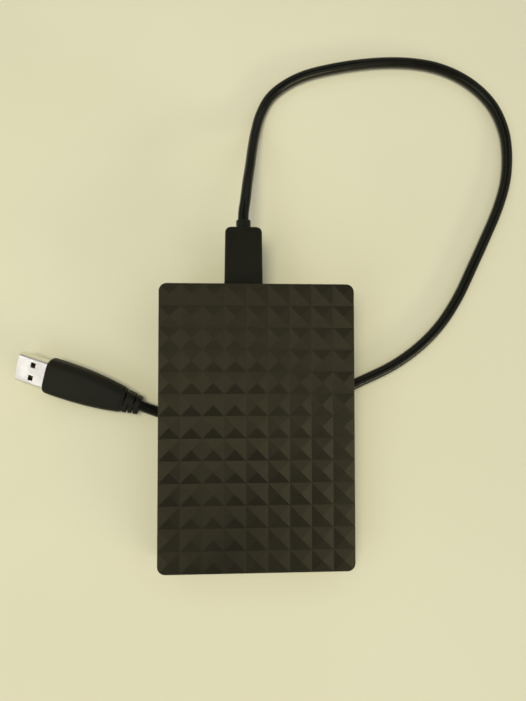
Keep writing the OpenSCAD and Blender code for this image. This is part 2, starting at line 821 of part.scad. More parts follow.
// Half the width of the USB-A boot along its length: it swells from the relief and draws in at the metal
function usb_half_w(x) = x > usb_widest
    ? usb_boot_w / 2 - 0.3 * pow((x - usb_widest) / (usb_front - usb_widest), 2)
    : usb_boot_w / 2
        - (usb_boot_w - usb_boot_w_end) / 2 * pow((usb_widest - x) / (usb_widest - relief_l), 2.2);

function usb_thick(x) = usb_boot_t_end + (usb_boot_t - usb_boot_t_end) * (x - relief_l) / usb_boot_l;

module usb_a_boot() {
    rim = 2.6;
    end_r = 2.7;
    steps = 4;
    color(lead_black) at_usb() {
        hull() for (y = [-1, 1], i = [0:steps]) {
            x = relief_l + end_r + i * (usb_boot_l - 2 * end_r) / steps;
            translate([x, y * (usb_half_w(x) - end_r), 0]) rim_post(end_r, usb_thick(x), rim);
        }
        relief();
    }
}

// Strain relief: a taper cut by slots that come in from one edge or the other, down to the core
module relief() {
    slot_t = 0.6;
    core_wall = 0.4;
    inner_web = 1;
    far_slot = 0.63 * relief_l;
    mid_slot = 0.33 * relief_l;
    reach = usb_boot_w_end;
    slots = [[0.15, -reach, inner_web], [0.15, reach * 0.36, reach], [mid_slot, 0, reach],
        [far_slot, -reach, -inner_web], [far_slot, 0, reach]];
    rotate([0, 90, 0]) cylinder(r = cord_r + core_wall, h = relief_l + 3);
    difference() {
        hull() {
            along_usb(0.5) round_rect(relief_w_end, usb_boot_t_end - 0.5, 2);
            translate([relief_l, 0, 0])
                along_usb(1) round_rect(usb_boot_w_end - 1, usb_boot_t_end - 0.2, 2.4);
        }
        for (s = slots)
            translate([relief_l - s[0] - slot_t, s[1], -usb_boot_t])
                cube([slot_t, s[2] - s[1], 2 * usb_boot_t]);
    }
}

// USB-A plug
module along_usb(l) {
    rotate([90, 0, 90]) linear_extrude(l) children();
}

module usb_a_shell() {
    color(steel) at_usb() translate([usb_front, 0, 0]) difference() {
        along_usb(usb_metal_l) round_rect(usb_metal_w, usb_metal_t, 0.7);
        translate([-1, 0, 0]) along_usb(usb_metal_l + 2)
            round_rect(usb_metal_w - 2 * usb_sheet_t, usb_metal_t - 2 * usb_sheet_t, 0.4);
        for (y = [-usb_window_y, usb_window_y])
            translate([usb_window_x, y, 0])
                cube([usb_window[0], usb_window[1], 2 * usb_metal_t], center = true);
    }
}

module usb_a_tongue() {
    inner_w = usb_metal_w - 2 * usb_sheet_t - 2 * seat;
    inner_t = usb_metal_t - 2 * usb_sheet_t - 2 * seat;
    color(rubber_black) at_usb() translate([usb_front, 0, 0]) {
        along_usb(2.2) round_rect(inner_w, inner_t, 0.4);
        intersection() {
            along_usb(usb_metal_l - 0.6) round_rect(inner_w, inner_t, 0.4);
            translate([0, -inner_w, -inner_t / 2]) cube([usb_metal_l, 2 * inner_w, usb_tongue_t]);
        }
    }
}

module usb_a_contacts() {
    face = -usb_metal_t / 2 + usb_sheet_t + seat + usb_tongue_t;
    color(gold) at_usb() translate([usb_front, 0, face]) {
        for (y = [-3.5, -1, 1, 3.5]) translate([usb_metal_l - 6.6, y - 0.5, 0]) cube([5.6, 1, 0.15]);
        for (y = [-4, -2, 0, 2, 4]) translate([3, y - 0.35, 0]) cube([1.8, 0.7, 0.3]);
    }
}

// Lead: a tube swept along a smooth curve through the route's points
function curve_point(p, i, t) = let (
    a = p[max(i - 1, 0)],
    b = p[i],
    c = p[i + 1],
    d = p[min(i + 2, len(p) - 1)]
) 0.5 * (2 * b + (c - a) * t + (2 * a - 5 * b + 4 * c - d) * t * t + (3 * b - a - 3 * c + d) * t * t * t);

function curve(p, per) = concat(
    [for (i = [0:len(p) - 2], k = [0:per - 1]) curve_point(p, i, k / per)],
    [p[len(p) - 1]]
);

function unit(v) = v / norm(v);
function heading(p, i) = unit(p[min(i + 1, len(p) - 1)] - p[max(i - 1, 0)]);
function across(t) = unit(cross([0, 0, 1], t));

function tube_ring(p, i, r, sides) = let (
    t = heading(p, i),
    side = across(t),
    up = cross(t, side)
) [for (k = [0:sides - 1]) let (a = 360 * (k + 0.5) / sides) p[i] + r * (cos(a) * side + sin(a) * up)];

module tube(p, r, sides) {
    last = len(p) - 1;
    points = [for (i = [0:last]) each tube_ring(p, i, r, sides)];
    walls = [for (i = [0:last - 1], k = [0:sides - 1]) [
        i * sides + k, i * sides + (k + 1) % sides, (i + 1) * sides + (k + 1) % sides, (i + 1) * sides + k
    ]];
    polyhedron(points, concat(
        [[for (k = [sides - 1:-1:0]) k]], walls, [[for (k = [0:sides - 1]) last * sides + k]]
    ), convexity = 10);
}

module cable() {
    color(lead_black) tube(curve(ROUTE, 2), cord_r, cord_sides);
}

top_shell();
bottom_shell();
corner_bumpers();
light_pipe();
base_casting();
drive_cover();
cover_screws();
motor_stator();
pivot_post();
lower_yoke();
upper_yoke();
lower_magnet();
upper_magnet();
ramp();
crash_stop();
drive_board();
board_screws();
sata_plug();
spindle_hub();
rotor_magnet();
platter();
disc_clamp();
clamp_screw();
actuator_arm();
head_suspensions();
voice_coil();
bridge_board();
bridge_chips();
sata_socket();
port_shell();
port_tongue();
microb_shell();
microb_core();
microb_boot();
cable();
usb_a_boot();
usb_a_shell();
usb_a_tongue();
usb_a_contacts();
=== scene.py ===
import json
import math

import bmesh
import bpy
from mathutils import Euler, Matrix, Vector


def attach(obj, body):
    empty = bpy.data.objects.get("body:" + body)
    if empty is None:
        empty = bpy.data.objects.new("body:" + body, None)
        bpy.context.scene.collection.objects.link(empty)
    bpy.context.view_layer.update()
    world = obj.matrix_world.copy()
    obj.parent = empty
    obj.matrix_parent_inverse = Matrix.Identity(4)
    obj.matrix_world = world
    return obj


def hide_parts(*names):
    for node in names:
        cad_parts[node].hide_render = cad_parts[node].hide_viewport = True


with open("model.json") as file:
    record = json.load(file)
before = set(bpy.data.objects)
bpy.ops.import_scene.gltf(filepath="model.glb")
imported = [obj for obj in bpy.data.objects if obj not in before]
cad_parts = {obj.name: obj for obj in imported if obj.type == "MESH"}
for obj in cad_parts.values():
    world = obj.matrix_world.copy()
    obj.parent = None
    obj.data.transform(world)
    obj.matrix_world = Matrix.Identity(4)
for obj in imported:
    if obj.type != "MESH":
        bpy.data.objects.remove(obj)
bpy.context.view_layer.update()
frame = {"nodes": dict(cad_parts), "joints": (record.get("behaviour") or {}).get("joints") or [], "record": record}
nodes = frame["nodes"]
jointNamed = {joint["name"]: joint for joint in frame["joints"]}
mountNamed = {mount["name"]: mount for mount in frame["record"]["mounts"]}
mm = 0.001
print("frame loaded:", len(nodes), "nodes")

# Camera: held above the lid, looking almost straight down
shot = {
    "place": (-9.8, 5.88, 239.9),  # mm
    "aim": (3.55, 32.9, 0),  # where the middle of the picture meets the table, mm
    "upHint": (0.0049, 1, 0),
    "focalPixels": 540,
    "imageHeight": 701,
    "sensor": 36,  # mm, on the long side
    "seenFrom": 0.01, "seenTo": 20,  # m
}


def placeCamera():
    lens = bpy.data.cameras.new("shotCamera")
    lens.sensor_width = shot["sensor"]
    lens.lens = shot["focalPixels"] * shot["sensor"] / shot["imageHeight"]
    lens.clip_start, lens.clip_end = shot["seenFrom"], shot["seenTo"]
    camera = bpy.data.objects.new("shotCamera", lens)
    bpy.context.scene.collection.objects.link(camera)
    place = Vector(shot["place"]) * mm
    forward = (Vector(shot["aim"]) * mm - place).normalized()
    right = forward.cross(Vector(shot["upHint"])).normalized()
    up = right.cross(forward)
    turn = Matrix((right, up, -forward)).transposed().to_4x4()
    camera.matrix_world = Matrix.Translation(place) @ turn
    bpy.context.scene.camera = camera


placeCamera()
print("camera placed")

# The lead: out of its plug in the port, down to the table, round in a loop, and under the case
lead = {
    "route": [  # mm, the same points as the construction model's
        (-5.5, 82, 18), (-5.5, 89, 18.4), (-4.6, 96, 17.8), (-3.6, 105, 15.1),
        (-2.4, 114, 11.5), (-1.2, 124, 7.6), (0.4, 134, 4.4), (2.7, 143, 2.7),
        (7, 151.5, 2.35), (14, 158, 2.35), (23, 163, 2.35), (34, 166.5, 2.35),
        (48, 169.5, 2.35), (62, 171.2, 2.35), (75, 171.3, 2.35), (87, 169.5, 2.35),
        (98, 165.2, 2.35), (107.5, 158.5, 2.35), (114.8, 149.5, 2.35), (119, 138, 2.35),
        (119.9, 126, 2.35), (118.3, 113, 2.35), (113.8, 99.5, 2.35), (107, 85, 2.35),
        (100, 71, 2.35), (93, 57.5, 2.35), (84.5, 45, 2.35), (74, 34.5, 2.35),
        (61, 25.6, 2.35), (44, 17.6, 2.35), (27, 9.6, 2.35), (12, 5, 2.35),
        (-4, 3.5, 2.35), (-20, 3.2, 2.35), (-32, 3.6, 2.4), (-40.8, 5.4, 2.55),
        (-49.6, 8.6, 4.5), (-52.4, 9.55, 4.65),
    ],
    "diameter": 4.6,
    "stepsPerSpan": 8,
    "sides": 7,
    "port": (-5.5, 58.4, 16.0),  # where its plug goes into the case
    "realLength": 0.457,  # m
}


def curvePoint(points, i, t):  # Catmull-Rom, as in the construction model
    a, b = points[max(i - 1, 0)], points[i]
    c, d = points[i + 1], points[min(i + 2, len(points) - 1)]
    return 0.5 * (2 * b + (c - a) * t
                  + (2 * a - 5 * b + 4 * c - d) * t ** 2
                  + (3 * b - a - 3 * c + d) * t ** 3)


def smoothRoute(points, steps):
    line = [curvePoint(points, i, k / steps) for i in range(len(points) - 1) for k in range(steps)]
    return line + [points[-1]]


def layLead():
    line = smoothRoute([Vector(p) * mm for p in lead["route"]], lead["stepsPerSpan"])
    shape = bpy.data.curves.new("lead", "CURVE")
    shape.dimensions = "3D"
    shape.bevel_depth = lead["diameter"] / 2 * mm
    shape.bevel_resolution = lead["sides"]
    shape.use_fill_caps = True
    spline = shape.splines.new("POLY")
    spline.points.add(len(line) - 1)
    for point, place in zip(spline.points, line):
        point.co = (*place, 1)
    spline.use_smooth = True
    made = bpy.data.objects.new("lead", shape)
    bpy.context.scene.collection.objects.link(made)
    print("lead laid:", round(sum((a - b).length for a, b in zip(line, line[1:])), 4), "m")
    return made


leadPiece = layLead()


# Shader helpers
def put(tree, kind, inputs=None, **settings):
    made = tree.nodes.new(kind)
    for key, value in settings.items():
        setattr(made, key, value)
    for key, value in (inputs or {}).items():
        if isinstance(value, bpy.types.NodeSocket):
            tree.links.new(value, made.inputs[key])
        else:
            made.inputs[key].default_value = value
    return made


def startGroup(name, numbers, results):
    tree = bpy.data.node_groups.new(name, "ShaderNodeTree")
    for label, value in numbers.items():
        kind = "NodeSocketVector" if isinstance(value, tuple) else "NodeSocketFloat"
        tree.interface.new_socket(label, in_out="INPUT", socket_type=kind).default_value = value
    for label in results:
        tree.interface.new_socket(label, in_out="OUTPUT", socket_type="NodeSocketFloat")
    return tree, tree.nodes.new("NodeGroupInput").outputs, tree.nodes.new("NodeGroupOutput").inputs


def calc(tree, operation, a, b=0.0, clamp=False):
    return put(tree, "ShaderNodeMath", {0: a, 1: b}, operation=operation, use_clamp=clamp).outputs[0]


def ramp(tree, value, low, high, start=0.0, end=1.0):
    made = put(tree, "ShaderNodeMapRange", {"Value": value, "From Min": low, "From Max": high,
                                            "To Min": start, "To Max": end})
    made.interpolation_type = "SMOOTHSTEP"
    return made.outputs[0]


def ownPlace(tree, stretch=None):
    place = put(tree, "ShaderNodeTexCoord").outputs["Object"]
    if stretch is None:
        return place
    return put(tree, "ShaderNodeVectorMath", {0: place, 1: stretch}, operation="MULTIPLY").outputs[0]


# Fine pebbled grain of a spark-eroded mould, as height
grainForm = {"coarseShare": 0.7, "cellShare": 0.45, "cellsPerCoarse": 1.9, "fleck": (0.45, 0.75)}


def grainGroup():
    tree, given, out = startGroup("mouldGrain", {"Scale": 2500.0}, ("Height", "Fleck"))
    coarse = put(tree, "ShaderNodeTexNoise", {"Vector": ownPlace(tree), "Scale": given["Scale"],
                                              "Detail": 3.0, "Roughness": 0.6})
    finer = calc(tree, "MULTIPLY", given["Scale"], grainForm["cellsPerCoarse"])
    cells = put(tree, "ShaderNodeTexVoronoi", {"Vector": ownPlace(tree), "Scale": finer})
    height = calc(tree, "ADD", calc(tree, "MULTIPLY", coarse.outputs[0], grainForm["coarseShare"]),
                  calc(tree, "MULTIPLY", cells.outputs["Distance"], grainForm["cellShare"]))
    tree.links.new(height, out["Height"])
    tree.links.new(ramp(tree, height, *grainForm["fleck"]), out["Fleck"])
    return tree


# Broad uneven patches, as left by handling and by the flow of the plastic
smudgeForm = {"edges": (0.32, 0.68)}


def smudgeGroup():
    tree, given, out = startGroup("handlingMarks", {"Scale": 30.0}, ("Mask",))
    wide = put(tree, "ShaderNodeTexNoise", {"Vector": ownPlace(tree), "Scale": given["Scale"],
                                            "Detail": 4.0, "Roughness": 0.55, "Distortion": 0.6})
    tree.links.new(ramp(tree, wide.outputs[0], *smudgeForm["edges"]), out["Mask"])
    return tree


# Sparse settled dust on the faces that look up
dustForm = {"patchScale": 60.0, "speck": (0.1, 0.02), "facingUp": (0.55, 0.9)}


def dustGroup():
    tree, given, out = startGroup("settledDust", {"Scale": 900.0, "Cover": 0.08}, ("Mask",))
    specks = put(tree, "ShaderNodeTexVoronoi", {"Vector": ownPlace(tree), "Scale": given["Scale"]})
    patches = put(tree, "ShaderNodeTexNoise", {"Vector": ownPlace(tree), "Scale": dustForm["patchScale"],
                                               "Detail": 2.0})
    near = ramp(tree, specks.outputs["Distance"], *dustForm["speck"])
    chosen = calc(tree, "LESS_THAN", specks.outputs["Color"], given["Cover"])
    normal = put(tree, "ShaderNodeNewGeometry").outputs["Normal"]
    upward = put(tree, "ShaderNodeSeparateXYZ", {0: normal}).outputs[2]
    up = ramp(tree, upward, *dustForm["facingUp"])
    mask = calc(tree, "MULTIPLY", calc(tree, "MULTIPLY", near, chosen), up)
    tree.links.new(calc(tree, "MULTIPLY", mask, patches.outputs[0]), out["Mask"])
    return tree


# Polished edges: where a rounded normal parts from the true one
wearForm = {"breakScale": 700.0, "edge": (0.995, 0.9), "breaks": (0.35, 0.6)}


def wearGroup():
    tree, given, out = startGroup("edgeWear", {"Radius": 0.0003, "Strength": 1.0}, ("Mask",))
    soft = put(tree, "ShaderNodeBevel", {"Radius": given["Radius"]}, samples=4).outputs[0]
    true = put(tree, "ShaderNodeNewGeometry").outputs["Normal"]
    same = put(tree, "ShaderNodeVectorMath", {0: soft, 1: true}, operation="DOT_PRODUCT").outputs["Value"]
    broken = put(tree, "ShaderNodeTexNoise", {"Vector": ownPlace(tree), "Scale": wearForm["breakScale"],
                                              "Detail": 3.0})
    edge = ramp(tree, same, *wearForm["edge"])
    worn = calc(tree, "MULTIPLY", edge, ramp(tree, broken.outputs[0], *wearForm["breaks"]))
    tree.links.new(calc(tree, "MULTIPLY", worn, given["Strength"], clamp=True), out["Mask"])
    return tree


# Fine parallel lines of rolled, brushed or drawn metal
streakForm = {"edges": (0.35, 0.65)}


def streakGroup():
    tree, given, out = startGroup("drawnLines", {"Stretch": (6000.0, 160.0, 6000.0)}, ("Height", "Mask"))
    lines = put(tree, "ShaderNodeTexNoise", {"Vector": ownPlace(tree, given["Stretch"]), "Scale": 1.0,
                                             "Detail": 4.0, "Roughness": 0.65})
    tree.links.new(lines.outputs[0], out["Height"])
    tree.links.new(ramp(tree, lines.outputs[0], *streakForm["edges"]), out["Mask"])
    return tree


# Turning marks in rings round an axis
ringForm = {"edges": (0.2, 0.9)}


def ringGroup():
    numbers = {"Centre": (0.0, 0.0, 0.0), "Tilt": (0.0, 0.0, 0.0), "Scale": 1500.0}
    tree, given, out = startGroup("turningRings", numbers, ("Height", "Mask"))
    shifted = put(tree, "ShaderNodeVectorMath", {0: ownPlace(tree), 1: given["Centre"]},
                  operation="SUBTRACT").outputs[0]
    level = put(tree, "ShaderNodeVectorRotate", {"Vector": shifted, "Rotation": given["Tilt"]},
                rotation_type="EULER_XYZ").outputs[0]
    rings = put(tree, "ShaderNodeTexWave", {"Vector": level, "Scale": given["Scale"], "Distortion": 0.6,
                                            "Detail": 2.0}, wave_type="RINGS", rings_direction="Z")
    tree.links.new(rings.outputs[1], out["Height"])
    tree.links.new(ramp(tree, rings.outputs[1], *ringForm["edges"]), out["Mask"])
    return tree


groups = {"grain": grainGroup(), "smudge": smudgeGroup(), "dust": dustGroup(), "wear": wearGroup(),
          "streak": streakGroup(), "ring": ringGroup()}
print("shared effects built:", len(groups))


def useGroup(tree, group, inputs=None):
    return put(tree, "ShaderNodeGroup", inputs, node_tree=groups[group]).outputs


def blend(tree, mask, first, second):
    made = put(tree, "ShaderNodeMix", {0: mask, 6: first, 7: second}, data_type="RGBA")
    return made.outputs[2]


def shade(colour, share=1.0):
    return (colour[0] * share, colour[1] * share, colour[2] * share, 1)


def startMaterial(name, **fixed):
    made = bpy.data.materials.new(name)
    made.use_nodes = True
    principled = made.node_tree.nodes["Principled BSDF"]
    for label, value in fixed.items():
        principled.inputs[label].default_value = value
    return made, made.node_tree, principled.inputs


def join(tree, value, socket):
    tree.links.new(value, socket)


def bump(tree, height, distance):
    return put(tree, "ShaderNodeBump", {"Height": height, "Distance": distance, "Strength": 1.0}).outputs[0]


# Moulded plastics and rubbers: base colour with uneven patches, grain, worn edges and a little dust
usualMoulding = {
    "specular": 0.5, "sheenTint": (1, 1, 1), "patchScale": 30.0, "roughSpread": 0.06,
    "fleckShare": 0.35, "fleckTone": 1.6,
    "wear": 0.3, "edgeRadius": 0.0003, "wornRoughness": -0.12,
    "dustColour": (0.32, 0.3, 0.25), "dustRoughness": 0.3,
}


def mouldedSurface(name, own):
    look = {**usualMoulding, **own}
    made, tree, sockets = startMaterial(name, **{"Specular IOR Level": look["specular"],
                                                 "Specular Tint": shade(look["sheenTint"])})
    grain = useGroup(tree, "grain", {"Scale": look["grainScale"]})
    patches = useGroup(tree, "smudge", {"Scale": look["patchScale"]})
    colour = blend(tree, patches["Mask"], shade(look["colour"]), shade(look["patchColour"]))
    flecks = calc(tree, "MULTIPLY", grain["Fleck"], look["fleckShare"])
    colour = blend(tree, flecks, colour, shade(look["colour"], look["fleckTone"]))
    wear = useGroup(tree, "wear", {"Radius": look["edgeRadius"], "Strength": look["wear"]})
    colour = blend(tree, wear["Mask"], colour, shade(look["wornColour"]))
    dust = useGroup(tree, "dust", {"Cover": look["dust"]})
    join(tree, blend(tree, dust["Mask"], colour, shade(look["dustColour"])), sockets["Base Color"])
    rough = ramp(tree, patches["Mask"], 0, 1, look["roughness"], look["roughness"] + look["roughSpread"])
    rough = calc(tree, "ADD", rough, calc(tree, "MULTIPLY", wear["Mask"], look["wornRoughness"]))
    rough = calc(tree, "ADD", rough, calc(tree, "MULTIPLY", dust["Mask"], look["dustRoughness"]))
    join(tree, rough, sockets["Roughness"])
    join(tree, bump(tree, grain["Height"], look["grainDepth"]), sockets["Normal"])
    return made


# Bare and plated metals: drawn lines or turning rings, dull patches and brighter edges
usualMetal = {
    "patchScale": 120.0, "patchRoughness": 0.08, "roughSpread": 0.12,
    "markTone": 0.25, "markShade": 0.7, "markDepth": 0.000004,
    "wear": 0.5, "edgeRadius": 0.0002,
}


def metalSurface(name, own):
    look = {**usualMetal, **own}
    made, tree, sockets = startMaterial(name, Metallic=1.0)
    if "ringCentre" in look:
        marks = useGroup(tree, "ring", {"Centre": look["ringCentre"], "Tilt": look["ringTilt"],
                                        "Scale": look["ringScale"]})
    else:
        marks = useGroup(tree, "streak", {"Stretch": look["stretch"]})
    patches = useGroup(tree, "smudge", {"Scale": look["patchScale"]})
    colour = blend(tree, patches["Mask"], shade(look["colour"]), shade(look["patchColour"]))
    marked = calc(tree, "MULTIPLY", marks["Mask"], look["markTone"])
    colour = blend(tree, marked, colour, shade(look["colour"], look["markShade"]))
    wear = useGroup(tree, "wear", {"Radius": look["edgeRadius"], "Strength": look["wear"]})
    join(tree, blend(tree, wear["Mask"], colour, shade(look["wornColour"])), sockets["Base Color"])
    rough = ramp(tree, marks["Mask"], 0, 1, look["roughness"], look["roughness"] + look["roughSpread"])
    rough = calc(tree, "ADD", rough, calc(tree, "MULTIPLY", patches["Mask"], look["patchRoughness"]))
    join(tree, rough, sockets["Roughness"])
    join(tree, bump(tree, marks["Height"], look["markDepth"]), sockets["Normal"])
    return made


# The case: near-black moulded plastic with a warm cast
casePlastic = mouldedSurface("casePlastic", {
    "colour": (0.0074, 0.0072, 0.0054), "patchColour": (0.009, 0.0082, 0.0058),
    "wornColour": (0.03, 0.028, 0.022), "specular": 0.8, "sheenTint": (1, 0.9, 0.5),
    "roughness": 0.29, "roughSpread": 0.04, "grainScale": 3200.0, "grainDepth": 0.00001,
    "patchScale": 22.0, "wear": 0.35, "dust": 0.03,
})
bumperRubber = mouldedSurface("bumperRubber", {
    "colour": (0.012, 0.012, 0.012), "patchColour": (0.02, 0.019, 0.018), "wornColour": (0.05, 0.05, 0.05),
    "roughness": 0.72, "grainScale": 1800.0, "grainDepth": 0.00003, "dust": 0.12,
})
whitePlastic = mouldedSurface("whitePlastic", {
    "colour": (0.74, 0.73, 0.68), "patchColour": (0.68, 0.67, 0.61), "wornColour": (0.82, 0.82, 0.8),
    "roughness": 0.42, "grainScale": 2600.0, "grainDepth": 0.00001, "dust": 0.0,
})
connectorBlack = mouldedSurface("connectorBlack", {
    "colour": (0.014, 0.014, 0.015), "patchColour": (0.02, 0.02, 0.021), "wornColour": (0.06, 0.06, 0.06),
    "roughness": 0.46, "grainScale": 4000.0, "grainDepth": 0.000008, "dust": 0.02,
})
chipBlack = mouldedSurface("chipBlack", {
    "colour": (0.02, 0.02, 0.022), "patchColour": (0.027, 0.027, 0.029), "wornColour": (0.07, 0.07, 0.07),
    "roughness": 0.58, "grainScale": 5200.0, "grainDepth": 0.000014, "dust": 0.02,
})
bootBlack = mouldedSurface("bootBlack", {
    "colour": (0.0052, 0.0056, 0.0042), "patchColour": (0.0068, 0.007, 0.005),
    "wornColour": (0.02, 0.02, 0.017), "specular": 0.24, "sheenTint": (1, 0.98, 0.72),
    "roughness": 0.4, "roughSpread": 0.08, "grainScale": 3600.0, "grainDepth": 0.000014,
    "patchScale": 55.0, "wear": 0.2, "dust": 0.03,
})
leadBlack = mouldedSurface("leadBlack", {
    "colour": (0.0036, 0.0038, 0.0028), "patchColour": (0.0048, 0.0048, 0.0036),
    "wornColour": (0.02, 0.02, 0.02), "specular": 0.26, "sheenTint": (1, 0.98, 0.8),
    "roughness": 0.16, "roughSpread": 0.06, "grainScale": 2400.0, "grainDepth": 0.000016,
    "patchScale": 90.0, "wear": 0.0, "dust": 0.04,
})

spindle = jointNamed["spindle_spin"]
leanBack = math.atan2(-spindle["axis"][1], spindle["axis"][2])  # the case's tilt about X
caseTurn = Euler((leanBack, 0, 0)).to_matrix()
levelTurn = (-leanBack, 0.0, 0.0)

castAluminium = metalSurface("castAluminium", {
    "colour": (0.62, 0.63, 0.64), "patchColour": (0.5, 0.51, 0.53), "wornColour": (0.8, 0.8, 0.8),
    "roughness": 0.42, "roughSpread": 0.2, "stretch": (1400.0, 1400.0, 1400.0), "markDepth": 0.00003,
})
stampedSteel = metalSurface("stampedSteel", {
    "colour": (0.66, 0.66, 0.64), "patchColour": (0.58, 0.58, 0.57), "wornColour": (0.85, 0.85, 0.85),
    "roughness": 0.3, "stretch": (5000.0, 140.0, 5000.0), "markDepth": 0.000006,
})
screwSteel = metalSurface("screwSteel", {
    "colour": (0.55, 0.55, 0.53), "patchColour": (0.42, 0.42, 0.42), "wornColour": (0.8, 0.8, 0.78),
    "roughness": 0.28, "stretch": (2500.0, 2500.0, 400.0), "markDepth": 0.000008,
})
turnedSteel = metalSurface("turnedSteel", {
    "colour": (0.72, 0.72, 0.71), "patchColour": (0.64, 0.64, 0.64), "wornColour": (0.9, 0.9, 0.9),
    "roughness": 0.2, "ringCentre": tuple(spindle["pos_m"]), "ringTilt": levelTurn, "ringScale": 1800.0,
})
platedMagnet = metalSurface("platedMagnet", {
    "colour": (0.6, 0.59, 0.57), "patchColour": (0.5, 0.49, 0.48), "wornColour": (0.75, 0.75, 0.73),
    "roughness": 0.24, "stretch": (900.0, 900.0, 900.0), "markDepth": 0.00001,
})
plugSteel = metalSurface("plugSteel", {
    "colour": (0.9, 0.87, 0.77), "patchColour": (0.85, 0.82, 0.71), "wornColour": (0.95, 0.95, 0.92),
    "roughness": 0.3, "roughSpread": 0.08, "stretch": (300.0, 5200.0, 5200.0), "markDepth": 0.000002,
    "markTone": 0.1, "wear": 0.3,
})
goldContact = metalSurface("goldContact", {
    "colour": (0.83, 0.6, 0.25), "patchColour": (0.76, 0.53, 0.2), "wornColour": (0.9, 0.75, 0.45),
    "roughness": 0.22, "stretch": (300.0, 5000.0, 5000.0),
})


# Platter: a near-perfect mirror with the faintest rings
discLook = {"colour": (0.86, 0.86, 0.88), "ringColour": (0.8, 0.8, 0.83), "ringScale": 400.0,
            "roughness": (0.03, 0.06)}


def mirrorDisc():
    made, tree, sockets = startMaterial("mirrorDisc", Metallic=1.0)
    marks = useGroup(tree, "ring", {"Centre": tuple(spindle["pos_m"]), "Tilt": levelTurn,
                                    "Scale": discLook["ringScale"]})
    colour = blend(tree, marks["Mask"], shade(discLook["colour"]), shade(discLook["ringColour"]))
    join(tree, colour, sockets["Base Color"])
    join(tree, ramp(tree, marks["Mask"], 0, 1, *discLook["roughness"]), sockets["Roughness"])
    return made


# Varnished copper wire, laid turn beside turn, with painted shade in the grooves between the turns
wireLook = {
    "grooveShade": (0.34, 0.13, 0.05), "turn": (0.72, 0.34, 0.14), "varnish": (0.6, 0.25, 0.1),
    "turnScale": 2200.0, "turnWander": 0.3, "turnDepth": 0.00004, "patchScale": 300.0,
    "roughness": (0.25, 0.4), "coat": 0.4, "coatRoughness": 0.15,
}


def copperWire():
    made, tree, sockets = startMaterial("copperWire", **{
        "Metallic": 1.0, "Coat Weight": wireLook["coat"], "Coat Roughness": wireLook["coatRoughness"]})
    turns = put(tree, "ShaderNodeTexWave", {"Vector": ownPlace(tree), "Scale": wireLook["turnScale"],
                                            "Distortion": wireLook["turnWander"]}, bands_direction="Z")
    patches = useGroup(tree, "smudge", {"Scale": wireLook["patchScale"]})
    # painted shade: the darker colour follows the grooves between the turns
    colour = blend(tree, turns.outputs[1], shade(wireLook["grooveShade"]), shade(wireLook["turn"]))
    join(tree, blend(tree, patches["Mask"], colour, shade(wireLook["varnish"])), sockets["Base Color"])
    join(tree, ramp(tree, patches["Mask"], 0, 1, *wireLook["roughness"]), sockets["Roughness"])
    join(tree, bump(tree, turns.outputs[1], wireLook["turnDepth"]), sockets["Normal"])
    return made


# Green solder mask over copper tracks
boardLook = {
    "bare": (0.008, 0.07, 0.035), "overTrack": (0.02, 0.13, 0.06), "patch": (0.01, 0.085, 0.04),
    "trackScale": 420.0, "trackWidth": 0.09, "trackDepth": 0.00003, "patchScale": 200.0,
    "roughness": (0.3, 0.42), "coat": 0.25, "coatRoughness": 0.2,
}


def circuitBoard():
    made, tree, sockets = startMaterial("circuitBoard", **{
        "Coat Weight": boardLook["coat"], "Coat Roughness": boardLook["coatRoughness"]})
    tracks = put(tree, "ShaderNodeTexBrick", {"Vector": ownPlace(tree), "Scale": boardLook["trackScale"],
                                              "Mortar Size": boardLook["trackWidth"],
                                              "Color1": shade((0, 0, 0)), "Color2": shade((0.3, 0.3, 0.3)),
                                              "Mortar": shade((1, 1, 1))})
    patches = useGroup(tree, "smudge", {"Scale": boardLook["patchScale"]})
    colour = blend(tree, tracks.outputs[0], shade(boardLook["bare"]), shade(boardLook["overTrack"]))
    join(tree, blend(tree, patches["Mask"], colour, shade(boardLook["patch"])), sockets["Base Color"])
    join(tree, ramp(tree, patches["Mask"], 0, 1, *boardLook["roughness"]), sockets["Roughness"])
    join(tree, bump(tree, tracks.outputs[0], boardLook["trackDepth"]), sockets["Normal"])
    return made


# Light guide: clear plastic, a little milky
guideLook = {"clear": (0.85, 0.86, 0.84), "milky": (0.72, 0.74, 0.72), "patchScale": 400.0,
             "roughness": (0.12, 0.25), "passes": 0.75, "bends": 1.49}


def clearPlastic():
    made, tree, sockets = startMaterial("clearPlastic", **{
        "Transmission Weight": guideLook["passes"], "IOR": guideLook["bends"]})
    patches = useGroup(tree, "smudge", {"Scale": guideLook["patchScale"]})
    colour = blend(tree, patches["Mask"], shade(guideLook["clear"]), shade(guideLook["milky"]))
    join(tree, colour, sockets["Base Color"])
    join(tree, ramp(tree, patches["Mask"], 0, 1, *guideLook["roughness"]), sockets["Roughness"])
    return made


slotMaterials = {
    "case_black": casePlastic, "bumper_rubber": bumperRubber, "clear_plastic": clearPlastic(),
    "cast_aluminium": castAluminium, "stamped_steel": stampedSteel, "screw_steel": screwSteel,
    "turned_steel": turnedSteel, "copper_wire": copperWire(), "plated_magnet": platedMagnet,
    "white_plastic": whitePlastic, "circuit_board": circuitBoard(), "connector_black": connectorBlack,
    "chip_black": chipBlack, "disc_mirror": mirrorDisc(), "plug_steel": plugSteel, "boot_black": bootBlack,
    "lead_black": leadBlack, "gold_contact": goldContact,
}
slotOfNode = {part["node"]: part["material_slot"] for part in frame["record"]["subparts"]}


def dressNodes():
    for name, piece in nodes.items():
        finish = slotMaterials[slotOfNode[name]]
        if not piece.data.materials:
            piece.data.materials.append(finish)
        for i in range(len(piece.data.materials)):
            piece.data.materials[i] = finish


dressNodes()
print("nodes dressed:", len(slotMaterials), "materials")


# Mesh helpers for the moulded boots
skin = {"voxel": 0.16, "smoothing": 3, "softness": 0.5, "roundSteps": 8}  # voxel in mm


